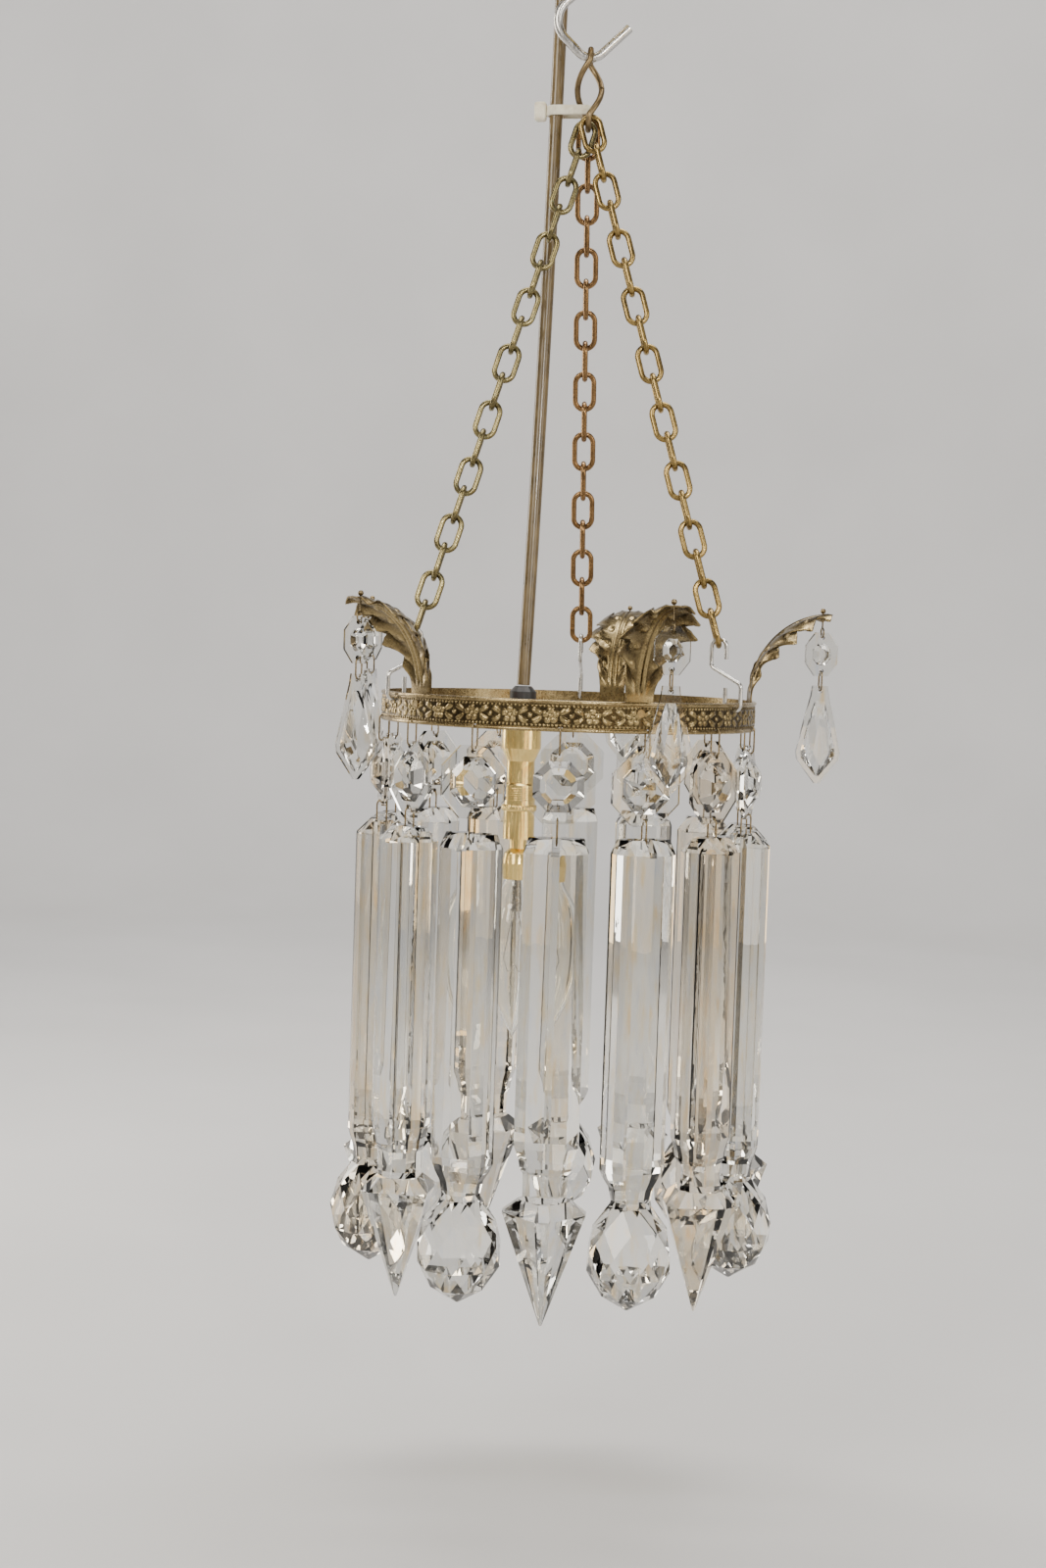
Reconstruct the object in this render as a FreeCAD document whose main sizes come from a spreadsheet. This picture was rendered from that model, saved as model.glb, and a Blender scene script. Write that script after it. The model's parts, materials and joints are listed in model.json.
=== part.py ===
"""A small crystal chandelier that hangs from a ceiling hook.

A brass ring on three chains carries fourteen strings of cut glass, five acanthus leaves with
their own pendants, and a bayonet lampholder with a candle bulb. Millimetres, +Z up. The origin
is the centre of the ceiling plate's upper face. The front of the object is -Y. An azimuth is
measured from the front towards +X.
"""
import FreeCAD, Part
import Sketcher
import math
import os

from FreeCAD import Placement, Rotation, Vector

SIZES = {
    # ceiling fitting, hook and link
    "plate_radius": 32, "plate_thickness": 4, "plate_screw_radius": 2.2, "plate_screw_offset": 24,
    "flex_hole_radius": 8, "hook_wire": 4.8, "hook_shank_offset": 5, "hook_drop": 61,
    "link_wire": 3.2, "link_length": 42.6, "link_half_width": 6.6,
    # chains and their end hooks
    "chain_wire": 3.0, "chain_link_width": 13.4, "chain_spread": 3.3,
    "end_wire": 2.2, "end_eye_height": 30, "end_eye_inset": 9.4,
    # ring
    "ring_drop": 405, "ring_radius": 102, "band_height": 16, "band_thickness": 1.2,
    "bead_radius": 1.0, "pin_hole_radius": 1.3, "pin_hole_rise": 3.0, "end_hole_drop": 4.0,
    "end_hole_radius": 1.6, "bar_width": 11, "bar_thickness": 2, "bar_tab": 9, "bar_drop": 3,
    # strings of cut glass
    "string_count": 14, "string_start": -3.1, "pin_wire": 0.9, "pin_bend": 2.6,
    "edge_thickness": 2.6, "octagon_size": 37.5, "octagon_thickness": 13, "octagon_drop": 25,
    "hole_inset": 2.8, "prism_drop": 69.7, "prism_width": 33, "prism_depth": 27,
    "prism_hole_inset": 4.0, "ball_diameter": 44.6, "spear_width": 43, "ball_length": 244.7,
    "spear_length": 252,
    # leaves and their pendants
    "leaf_count": 5, "leaf_start": -52, "leaf_reach": 44.8, "leaf_rise": 47, "leaf_width": 43,
    "leaf_thickness": 1.2, "leaf_foot": 12, "leaf_foot_width": 15, "pendant_inset": 6,
    "button_top": 39, "button_width": 18, "button_length": 24, "button_thickness": 9,
    "drop_top": 9.7, "drop_width": 25, "drop_length": 54, "drop_thickness": 11,
    # lampholder, bulb and flex
    "holder_offset": 26, "bar_azimuth": -75, "flex_diameter": 7.2, "gland_radius": 7.3,
    "nipple_radius": 4.9, "nipple_length": 18.5, "cap_radius": 10.8,
    "cap_height": 12, "cap_neck_radius": 7.75, "cap_neck_height": 19,
    "sleeve_radius": 8.6, "sleeve_height": 30.8, "socket_radius": 5.0, "ring_thread_height": 12,
    "shade_ring_radius": 9.6, "bulb_pin_radius": 4.8, "bulb_skirt_radius": 8.5,
    "bulb_skirt_height": 16.8, "bulb_pin_length": 22, "bulb_neck": 5.4, "bulb_radius": 17.5,
    "bulb_length": 88, "bulb_wall": 0.9,
    "tie_height": 6, "tie_wall": 1.2, "tie_drop": 88,
}
CHAIN_AZIMUTHS = {"chain_right": 57, "chain_left": -66, "chain_back": 175}
CHAIN_SEATS = {"chain_right": -1, "chain_left": 0, "chain_back": 1}
CHAIN_LINKS = {"chain_right": 18, "chain_left": 18, "chain_back": 17}
PENDANT_FACINGS = [-30, 10, 10, 164, 236]
FLEX_ROUTE = [(-16.2, 9.2, -1.5), (-17.4, 8.3, -91), (-20.6, 2.6, -262), (-25.1, -6.7, -400)]

doc = FreeCAD.newDocument("chandelier")
sheet = doc.addObject("Spreadsheet::Sheet", "Sheet")
for row, (alias, value) in enumerate(SIZES.items(), start=1):
    sheet.set(f"A{row}", alias)
    sheet.set(f"B{row}", str(value))
    sheet.setAlias(f"B{row}", alias)
doc.recompute()
size = {alias: float(getattr(sheet, alias)) for alias in SIZES}

RING_TOP = -size["ring_drop"]
HANG_RADIUS = size["ring_radius"] - size["band_thickness"] / 2
HOOK_Z = -size["hook_drop"]
LINK_TOP = HOOK_Z + size["hook_wire"] / 2 + size["link_wire"] / 2 + 0.5
nodes = {}


# ---- small helpers ---------------------------------------------------------------------------

def around(azimuth, radius=0.0, z=0.0):
    """A placement at an azimuth: local -Y points outward, local X along the ring."""
    turn = Rotation(Vector(0, 0, 1), azimuth)
    return Placement(turn.multVec(Vector(0, -radius, z)), turn)


def add_feature(name, shape):
    """A sub-part whose shape is worked out below from the sheet's sizes."""
    feature = doc.addObject("Part::Feature", name)
    feature.Label = name
    feature.Shape = shape
    nodes[name] = feature
    return feature


def add_primitive(kind, name, expressions, placement=None):
    """A Part primitive whose properties are bound to the sheet."""
    item = doc.addObject(kind, name)
    if placement is not None:
        item.Placement = placement
    for key, expression in expressions.items():
        item.setExpression(key, expression)
    return item


def turned_body(name, profile, placement):
    """A PartDesign body of revolution about Z. The profile's points are pairs of expressions."""
    body = doc.addObject("PartDesign::Body", name)
    body.Label = name
    plane = next(f for f in body.Origin.OriginFeatures if f.Role == "XZ_Plane")
    sketch = body.newObject("Sketcher::SketchObject", name + "_profile")
    sketch.AttachmentSupport = [(plane, "")]
    sketch.MapMode = "FlatFace"
    points = [tuple(float(value_of(e)) for e in pair) for pair in profile]
    corners = [Vector(r, z, 0) for r, z in points]
    for here, there in zip(corners, corners[1:] + corners[:1]):
        sketch.addGeometry(Part.LineSegment(here, there), False)
    count = len(corners)
    for i in range(count):
        sketch.addConstraint(Sketcher.Constraint("Coincident", i, 2, (i + 1) % count, 1))
    for i, (radius, height) in enumerate(profile):
        for kind, axis, expression, value in (
            ("DistanceX", -2, radius, points[i][0]), ("DistanceY", -1, height, points[i][1])
        ):
            if abs(value) < 1e-9:
                sketch.addConstraint(Sketcher.Constraint("PointOnObject", i, 1, axis))
            else:
                n = sketch.addConstraint(Sketcher.Constraint(kind, -1, 1, i, 1, value))
                sketch.setExpression(f"Constraints[{n}]", expression)
    turn = body.newObject("PartDesign::Revolution", name + "_turned")
    turn.Profile = sketch
    turn.ReferenceAxis = (sketch, ["V_Axis"])
    turn.Angle = 360.0
    body.Tip = turn
    body.Placement = placement
    nodes[name] = body
    return body


def value_of(expression):
    """An expression on the sheet, worked out in plain numbers for a sketch's first guess."""
    return sheet.evalExpression(expression)


def rounded_path(points, radii):
    """Straight runs joined by tangent arcs, as one wire, with the radius of each arc."""
    edges, start, made = [], points[0], []
    for i in range(1, len(points) - 1):
        into = (points[i] - points[i - 1]).normalize()
        out = (points[i + 1] - points[i]).normalize()
        half = into.getAngle(out) / 2
        radius = radii[i - 1]
        if radius is None:
            shorter = min(points[i].distanceToPoint(points[i - 1]),
                          points[i].distanceToPoint(points[i + 1]))
            radius = 0.45 * shorter / math.tan(half)
        cut = radius * math.tan(half)
        a, b = points[i] - into * cut, points[i] + out * cut
        bisector = (out - into).normalize()
        middle = points[i] + bisector * (radius / math.cos(half) - radius)
        edges.append(Part.LineSegment(start, a).toShape())
        edges.append(Part.Arc(a, middle, b).toShape())
        made.append(radius)
        start = b
    edges.append(Part.LineSegment(start, points[-1]).toShape())
    return Part.Wire(edges), made


def tube_along(wire, diameter):
    """A round solid swept along a wire from its first vertex."""
    edge = wire.OrderedEdges[0]
    at = edge.valueAt(edge.FirstParameter)
    along = edge.tangentAt(edge.FirstParameter)
    ring = Part.Wire([Part.Circle(at, along, diameter / 2).toShape()])
    return wire.makePipeShell([ring], True, False, 2)


def oval(length, bend, wire):
    """A closed wire link in the YZ plane: two half turns joined by two straight sides."""
    half = length / 2
    circle = Part.Circle(Vector(0, bend, half), Vector(0, 0, 1), wire / 2)
    section = Part.Face(Part.Wire([circle.toShape()]))
    top = section.revolve(Vector(0, 0, half), Vector(1, 0, 0), 180)
    pieces = [top]
    pieces.append(top.mirror(Vector(0, 0, 0), Vector(0, 0, 1)))
    for side in (-bend, bend):
        pieces.append(Part.makeCylinder(wire / 2, length, Vector(0, side, -half)))
    return pieces[0].multiFuse(pieces[1:]).removeSplitter()


def polygon(points):
    return Part.makePolygon([Vector(*p) for p in points] + [Vector(*points[0])])


def lofted(*outlines):
    """Flat facets between outlines that have the same number of corners."""
    return Part.makeLoft([polygon(points) for points in outlines], True, True)


def facing(outline, y):
    """An outline of (x, z) pairs, laid in a plane of constant y."""
    return [(x, y, z) for x, z in outline]


def cut_stone(outline, table, thickness, hole_heights):
    """A flat stone with an edge band, a raised cut table on each face, and thread holes."""
    edge = size["edge_thickness"] / 2
    stone = Part.Face(polygon(facing(outline, -edge))).extrude(Vector(0, 2 * edge, 0))
    rim, top = table
    for side in (-1, 1):
        raised = lofted(facing(rim, side * (edge - 0.2)), facing(top, side * thickness / 2))
        stone = stone.fuse(raised)
    for z in hole_heights:
        stone = stone.cut(across(z))
    return stone.removeSplitter()


def across(z):
    """The round thread hole through a stone, along Y."""
    reach = size["prism_depth"]
    return Part.makeCylinder(size["pin_hole_radius"], 2 * reach, Vector(0, -reach, z),
                             Vector(0, 1, 0))


def regular(count, across_flats, centre_z=0.0):
    """A regular outline with flats at the top and bottom, as (x, z) pairs."""
    radius = across_flats / 2 / math.cos(math.pi / count)
    angles = [math.pi * (2 * i + 1) / count for i in range(count)]
    return [(radius * math.cos(a), centre_z + radius * math.sin(a)) for a in angles]


def scaled(outline, by_x, by_z, centre_z):
    return [(x * by_x, centre_z + (z - centre_z) * by_z) for x, z in outline]


def pin_between(upper_hole, lower_hole):
    """A wire pin through two holes, one above the other, whose bends turn inside them."""
    bend = size["pin_bend"]
    length = upper_hole - lower_hole - 2 * bend
    pin = oval(length, bend, size["pin_wire"])
    pin.translate(Vector(0, 0, (upper_hole + lower_hole) / 2))
    return pin


# ---- ceiling fitting, hook and twisted link ---------------------------------------------------

def make_ceiling_plate():
    disc = add_primitive("Part::Cylinder", "plate_disc",
                         {"Radius": "Sheet.plate_radius", "Height": "Sheet.plate_thickness"},
                         Placement(Vector(0, 0, -size["plate_thickness"]), Rotation()))
    holes = []
    spots = [("plate_screw_a", 0, size["plate_screw_offset"], "Sheet.plate_screw_radius"),
             ("plate_screw_b", 0, -size["plate_screw_offset"], "Sheet.plate_screw_radius"),
             ("plate_hook_hole", size["hook_shank_offset"], 0, "Sheet.hook_wire / 2"),
             ("plate_flex_hole", FLEX_ROUTE[0][0], FLEX_ROUTE[0][1], "Sheet.flex_hole_radius")]
    for name, x, y, radius in spots:
        at = Placement(Vector(x, y, -2 * size["plate_thickness"]), Rotation())
        holes.append(add_primitive("Part::Cylinder", name,
                                   {"Radius": radius, "Height": "Sheet.plate_thickness * 3"}, at))
    tools = doc.addObject("Part::MultiFuse", "plate_holes")
    tools.Shapes = holes
    plate = doc.addObject("Part::Cut", "ceiling_plate")
    plate.Label = "ceiling_plate"
    plate.Base = disc
    plate.Tool = tools
    nodes["ceiling_plate"] = plate


def make_ceiling_hook():
    shank = size["hook_shank_offset"]
    corners = [(shank, -HOOK_Z), (shank, 47), (-24, 20), (0, -3.4), (20.5, 16.5)]
    points = [Vector(x, 0, HOOK_Z + z) for x, z in corners]
    wire, _ = rounded_path(points, [10, 13, 9])
    add_feature("ceiling_hook", tube_along(wire, size["hook_wire"]))


def link_point(turn):
    """A point on the twisted link: round ends, and strands that change sides between them."""
    length, width = size["link_length"], size["link_half_width"]
    straight = length / 2 - width
    z = length / 2 * math.cos(turn)
    beyond = max(abs(z) - straight, 0.0)
    reach = math.copysign(math.sqrt(max(width ** 2 - beyond ** 2, 0.0)), math.sin(turn))
    twist = math.pi * (0.5 - 0.5 * max(-1.0, min(1.0, z / straight)))
    return Vector(reach * math.sin(twist), reach * math.cos(twist), z)


def make_top_link():
    """The link is bent from one length of wire, butted together half way down a strand."""
    steps, gap = 34, 0.02
    begin, sweep = math.pi / 2 + gap, 2 * math.pi - 2 * gap
    points = [link_point(begin + sweep * i / steps) for i in range(steps + 1)]
    wire, _ = rounded_path(points, [None] * (steps - 1))
    link = tube_along(wire, size["link_wire"])
    link.translate(Vector(0, 0, LINK_TOP - size["link_length"] / 2))
    add_feature("top_link", link)


# ---- chains and their end hooks ----------------------------------------------------------------

def make_chain(name):
    """Alternate links turned a quarter, from the twisted link's bend to the end hook's eye."""
    azimuth, seat = CHAIN_AZIMUTHS[name], CHAIN_SEATS[name]
    wire = size["chain_wire"]
    link_bottom = LINK_TOP - size["link_length"]
    aside = seat * size["chain_spread"]
    room = size["link_half_width"] - size["link_wire"] / 2 - wire / 2
    lift = room - math.sqrt(room ** 2 - aside ** 2)
    start = Vector(0, aside, link_bottom + lift + size["link_wire"] / 2 + wire / 2 + 0.5)
    end_radius = HANG_RADIUS - size["end_eye_inset"]
    end = around(azimuth, end_radius, RING_TOP + size["end_eye_height"]).Base
    count = CHAIN_LINKS[name]
    along = end - start
    grip = wire + 0.06
    pitch = (along.Length - grip) / count
    length = pitch + grip
    bend = (size["chain_link_width"] - wire) / 2
    down = Vector(along).normalize()
    level = Vector(0, 1, 0)
    side = down.cross(level).normalize()
    normal = side.cross(down).normalize()
    links = []
    for i in range(count):
        first, second = (side, normal) if i % 2 == 0 else (normal, side)
        up = Vector(0, 0, 0) - down
        if second.cross(first).dot(up) < 0:
            second = Vector(0, 0, 0) - second
        turn = Rotation(second, first, up, "ZXY")
        link = oval(length - 2 * bend, bend, wire)
        link.Placement = Placement(start + down * (pitch * i + length / 2), turn)
        links.append(link)
    add_feature(name, Part.makeCompound(links))


def make_end_hooks():
    """Bent wire hooks: the lower bend passes through the band, the upper one holds a chain."""
    hole = -size["end_hole_drop"]
    eye, inset = size["end_eye_height"], -size["end_eye_inset"]
    corners = [(-4.6, 8), (-4.6, hole), (4.6, hole), (4.6, 10), (-13.5, 19),
               (-13.5, eye + 3.2), (inset + 4.4, eye + 3.2), (inset + 4.8, eye - 7)]
    hooks = []
    for azimuth in CHAIN_AZIMUTHS.values():
        points = [Vector(0, -u, z) for u, z in corners]
        wire, _ = rounded_path(points, [3.4, 3.4, 3.6, 3.6, 3.4, 3.2])
        hook = tube_along(wire, size["end_wire"])
        hook.Placement = around(azimuth, HANG_RADIUS, RING_TOP)
        hooks.append(hook)
    add_feature("end_hooks", Part.makeCompound(hooks))


# ---- ring --------------------------------------------------------------------------------------

def string_azimuths():
    count = int(size["string_count"])
    return [size["string_start"] + 360.0 * k / count for k in range(count)]


def leaf_azimuths():
    count = int(size["leaf_count"])
    return [size["leaf_start"] + 360.0 * k / count for k in range(count)]


def radial_hole(name, azimuth, z, radius):
    """A cylinder that bores through the band at one azimuth."""
    turn = Rotation(Vector(0, 0, 1), azimuth).multiply(Rotation(Vector(1, 0, 0), 90))
    at = around(azimuth, size["ring_radius"] - 8, z).Base
    return add_primitive("Part::Cylinder", name, {"Radius": radius, "Height": "16 mm"},
                         Placement(at, turn))


def make_ring_band():
    base = Placement(Vector(0, 0, RING_TOP - size["band_height"]), Rotation())
    outer = add_primitive("Part::Cylinder", "band_outer",
                          {"Radius": "Sheet.ring_radius", "Height": "Sheet.band_height"}, base)
    inner = add_primitive("Part::Cylinder", "band_inner",
                          {"Radius": "Sheet.ring_radius - Sheet.band_thickness",
                           "Height": "Sheet.band_height"}, base)
    hoop = doc.addObject("Part::Cut", "band_hoop")
    hoop.Base, hoop.Tool = outer, inner
    beads = []
    for name, z in (("bead_top", RING_TOP - size["bead_radius"]),
                    ("bead_bottom", RING_TOP - size["band_height"] + size["bead_radius"])):
        beads.append(add_primitive("Part::Torus", name,
                                   {"Radius1": "Sheet.ring_radius", "Radius2": "Sheet.bead_radius"},
                                   Placement(Vector(0, 0, z), Rotation())))
    whole = doc.addObject("Part::MultiFuse", "band_whole")
    whole.Shapes = [hoop] + beads
    low = RING_TOP - size["band_height"] + size["pin_hole_rise"]
    holes = [radial_hole(f"pin_hole_{k + 1}", a, low, "Sheet.pin_hole_radius")
             for k, a in enumerate(string_azimuths())]
    holes += [radial_hole(f"{name}_hole", a, RING_TOP - size["end_hole_drop"],
                          "Sheet.end_hole_radius") for name, a in CHAIN_AZIMUTHS.items()]
    holes += [radial_hole(f"rivet_hole_{k + 1}", a, RING_TOP + z, "1.2 mm")
              for k, (a, z) in enumerate(rivet_spots())]
    tools = doc.addObject("Part::MultiFuse", "band_holes")
    tools.Shapes = holes
    band = doc.addObject("Part::Cut", "ring_band")
    band.Label = "ring_band"
    band.Base, band.Tool = whole, tools
    nodes["ring_band"] = band


def rivet_spots():
    """Azimuth and height of each rivet: one at each leaf's foot, one at each end of the bar."""
    spots = [(azimuth, -5.6) for azimuth in leaf_azimuths()]
    return spots + [(size["bar_azimuth"] + turn, -8.8) for turn in (0, 180)]


def make_rivets():
    """Brass rivets that hold the leaves and the crossbar against the band's inner face."""
    inner = size["ring_radius"] - size["band_thickness"] - size["leaf_thickness"] - 0.12
    rivets = []
    for azimuth, z in rivet_spots():
        body = Part.makeCylinder(1.2, size["ring_radius"] - inner, Vector(0, -inner, 0),
                                 Vector(0, -1, 0))
        head = Part.makeCylinder(2.1, 0.9, Vector(0, -size["ring_radius"], 0), Vector(0, -1, 0))
        tail = Part.makeCylinder(1.9, 0.7, Vector(0, -inner + 0.7, 0), Vector(0, -1, 0))
        rivet = body.fuse([head, tail]).removeSplitter()
        rivet.Placement = around(azimuth, 0, RING_TOP + z)
        rivets.append(rivet)
    add_feature("rivets", Part.makeCompound(rivets))


def make_crossbar():
    """A flat bar across the ring with a turned-down tab at each end and a hole for the gland."""
    inside = size["ring_radius"] - size["band_thickness"]
    thick, width = size["bar_thickness"], size["bar_width"]
    top = -size["bar_drop"]
    bar = Part.makeBox(width, 2 * inside, thick, Vector(-width / 2, -inside, top - thick))
    for side in (-1, 1):
        wall = size["leaf_thickness"]
        low = Vector(-width / 2, -inside if side < 0 else inside - wall, top - size["bar_tab"])
        bar = bar.fuse(Part.makeBox(width, wall, size["bar_tab"], low))
    skin = Part.makeCylinder(inside - 0.02, 40, Vector(0, 0, -25))
    bar = bar.common(skin)
    hole = Part.makeCylinder(size["nipple_radius"], 20, Vector(0, -size["holder_offset"], -12))
    bar = bar.cut(hole)
    for side in (-1, 1):
        bar = bar.cut(Part.makeCylinder(1.2, 20, Vector(0, side * (inside - 10), -8.8),
                                        Vector(0, side, 0)))
    bar.Placement = around(size["bar_azimuth"], 0, RING_TOP)
    add_feature("crossbar", bar.removeSplitter())


# ---- strings of cut glass ----------------------------------------------------------------------

def make_octagon(index, azimuth):
    """An octagon and the wire pin below it, which swings with it."""
    across_flats = size["octagon_size"]
    centre = -size["octagon_drop"] - across_flats / 2
    top, bottom = centre + across_flats / 2, centre - across_flats / 2
    outline = regular(8, across_flats, centre)
    rim = regular(8, across_flats - 11, centre)
    table = regular(8, 13, centre)
    inset = size["hole_inset"]
    stone = cut_stone(outline, (rim, table), size["octagon_thickness"],
                      (top - inset, bottom + inset))
    pin = pin_between(bottom + inset, -size["prism_drop"] - size["prism_hole_inset"])
    both = Part.makeCompound([stone, pin])
    both.Placement = around(azimuth, HANG_RADIUS, RING_TOP)
    add_feature(f"octagon_{index}", both)


def prism_section(by_x=1.0, by_y=1.0, z=0.0):
    """Two wide facets with a low ridge on each face, and bevels down both edges."""
    half, deep = size["prism_width"] / 2 * by_x, size["prism_depth"] / 2 * by_y
    right = [(0, -deep), (0.64 * half, -0.86 * deep), (half, -0.3 * deep)]
    quarter = right + [(x, -y) for x, y in reversed(right)]
    left = [(-x, -y) for x, y in quarter[1:-1]]
    return [(x, y, z) for x, y in quarter + left]


def prism_bar(length):
    """The long body, with its top bevelled all round and a slot on each face for the pin."""
    bar = lofted(prism_section(z=-length), prism_section(z=-7.5), prism_section(0.86, 0.42, 0))
    hole = -size["prism_hole_inset"]
    bar = bar.cut(across(hole))
    edge, slot = size["edge_thickness"] / 2, 4.4
    for side in (-1, 1):
        low = Vector(-slot / 2, edge if side > 0 else -edge - 20, hole - 4.5)
        bar = bar.cut(Part.makeBox(slot, 20, 20, low))
    return bar


def tapered(sections):
    """The waist of a prism: its own section drawn in and out again, as (scale x, scale y, z)."""
    return Part.makeLoft([polygon(prism_section(*s)) for s in sections], True, True)


def facet_ball(radius, levels):
    """A ball of flat facets: rings of eight corners, each turned half a step from the last."""
    rings = []
    for n, (z, r) in enumerate(levels):
        turn = math.pi / 8 * (n % 2)
        rings.append([Vector(r * radius * math.cos(turn + math.pi / 4 * i),
                             r * radius * math.sin(turn + math.pi / 4 * i), z)
                      for i in range(8)])
    faces = []
    for n in range(len(rings) - 1):
        upper, lower = rings[n], rings[n + 1]
        shift = n % 2
        for i in range(8):
            a, b = upper[i], upper[(i + 1) % 8]
            c, d = lower[(i + shift) % 8], lower[(i + shift - 1) % 8]
            faces.append(flat(a, b, c))
            faces.append(flat(a, c, d))
    faces.append(Part.Face(Part.makePolygon(rings[0] + rings[0][:1])))
    faces.append(Part.Face(Part.makePolygon(rings[-1] + rings[-1][:1])))
    return Part.makeSolid(Part.makeShell(faces))


def flat(a, b, c):
    return Part.Face(Part.makePolygon([a, b, c, a]))


def make_ball_prism():
    """A bar whose lower end narrows to a waist and opens into a faceted ball."""
    length = size["ball_length"]
    end = length - 74
    bar = prism_bar(end)
    waist = tapered([(1, 1, -end), (0.9, 0.92, -end - 4), (0.7, 0.8, -end - 9),
                     (0.6, 0.74, -end - 16), (0.66, 0.78, -end - 22)])
    radius = size["ball_diameter"] / 2
    levels = [(-length + 55, 0.5), (-length + 44, 0.86), (-length + 32, 1.0),
              (-length + 20, 0.97), (-length + 8.5, 0.66), (-length, 0.04)]
    ball = facet_ball(radius, levels)
    return bar.fuse([waist, ball]).removeSplitter()


def spear_section(half, z):
    """A square set on its corner, with the four corners cut to narrow facets."""
    cut = 0.19 * half
    right = [(cut, -half), (half, -cut), (half, cut), (cut, half)]
    return [(x, y, z) for x, y in right] + [(-x, -y, z) for x, y in right]


def make_spear_prism():
    """A bar stepped in to a square neck, then a shouldered spear point."""
    length = size["spear_length"]
    end = length - 94
    bar = prism_bar(end)
    waist = tapered([(1, 1, -end), (0.84, 0.9, -end - 7), (0.8, 0.84, -end - 12),
                     (0.7, 0.8, -end - 14), (0.68, 0.78, -end - 34)])
    half = size["spear_width"] / 2
    spear = lofted(spear_section(0.62 * half, -length + 66), spear_section(half, -length + 59.5),
                   spear_section(0.03 * half, -length))
    return bar.fuse([waist, spear]).removeSplitter()


def make_strings():
    kinds = {"ball": make_ball_prism(), "spear": make_spear_prism()}
    for k, azimuth in enumerate(string_azimuths()):
        make_octagon(k + 1, azimuth)
        prism = kinds["spear" if k % 2 == 0 else "ball"].copy()
        prism.Placement = around(azimuth, HANG_RADIUS, RING_TOP - size["prism_drop"])
        add_feature(f"prism_{k + 1}", prism)


# ---- leaves and their pendants -----------------------------------------------------------------

def leaf_width(share):
    """Full width of the leaf at a share of the way from the band to the tip."""
    foot, full, tip = size["leaf_foot_width"], size["leaf_width"], 9.0
    if share < 0.5:
        swell = math.sin(math.pi * max(share, 0.0)) ** 1.5
        return foot + (full - foot) * swell
    return tip + (full - tip) * math.cos(math.pi * (share - 0.5)) ** 0.8


def leaf_section(share):
    """A cupped cross-section of the leaf: below 0 in the foot, then from the band to the tip."""
    thick, width = size["leaf_thickness"], leaf_width(share)
    foot_radius = size["ring_radius"] - size["band_thickness"] - thick / 2 - 0.08
    rise = 3.0
    if share < 0:
        centre = Vector(0, -foot_radius, rise + share * (size["leaf_foot"] + 1))
        ahead = Vector(0, 0, 1)
        cup = -width ** 2 / 8 / foot_radius
    else:
        turn = share * math.pi / 2
        out = foot_radius + size["leaf_reach"] * (1 - math.cos(turn))
        centre = Vector(0, -out, rise + (size["leaf_rise"] - 1) * math.sin(turn))
        ahead = Vector(0, -size["leaf_reach"] * math.sin(turn),
                       size["leaf_rise"] * math.cos(turn)).normalize()
        cup = 0.13 * width * math.sin(math.pi * share) - 0.28 + 0.5 * share
    outward = Vector(1, 0, 0).cross(ahead)
    edge, bow = Vector(width / 2, 0, 0), outward * cup
    skin = outward * (thick / 2)
    outer = Part.Arc(centre - edge + skin + bow, centre + skin, centre + edge + skin + bow)
    inner = Part.Arc(centre + edge - skin + bow, centre - skin, centre - edge - skin + bow)
    sides = [Part.LineSegment(outer.EndPoint, inner.StartPoint),
             Part.LineSegment(inner.EndPoint, outer.StartPoint)]
    return Part.Wire([outer.toShape(), sides[0].toShape(), inner.toShape(), sides[1].toShape()])


def pendant_radius():
    """How far out the pendants hang."""
    return size["ring_radius"] + size["leaf_reach"] - size["pendant_inset"] - 2


def make_leaves():
    """Five pressed leaves, riveted inside the band, that curl out over it."""
    shares = [-1.0, -0.5, 0.0, 0.1, 0.2, 0.3, 0.4, 0.5, 0.6, 0.7, 0.8, 0.9, 1.0]
    leaf = Part.makeLoft([leaf_section(s) for s in shares], True, True)
    hang = Part.makeCylinder(0.9, 30, Vector(0, -pendant_radius(), 30))
    rivet = Part.makeCylinder(1.2, 20, Vector(0, -90, -5.6), Vector(0, -1, 0))
    leaf = leaf.cut(hang.fuse(rivet))
    leaves = []
    for azimuth in leaf_azimuths():
        one = leaf.copy()
        one.Placement = around(azimuth, 0, RING_TOP)
        leaves.append(one)
    add_feature("acanthus_leaves", Part.makeCompound(leaves))


def pendant_frame(index):
    """Where a leaf's pendants hang, turned to the way they have come to rest."""
    at = around(leaf_azimuths()[index], pendant_radius(), RING_TOP).Base
    return Placement(at, Rotation(Vector(0, 0, 1), PENDANT_FACINGS[index]))


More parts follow.
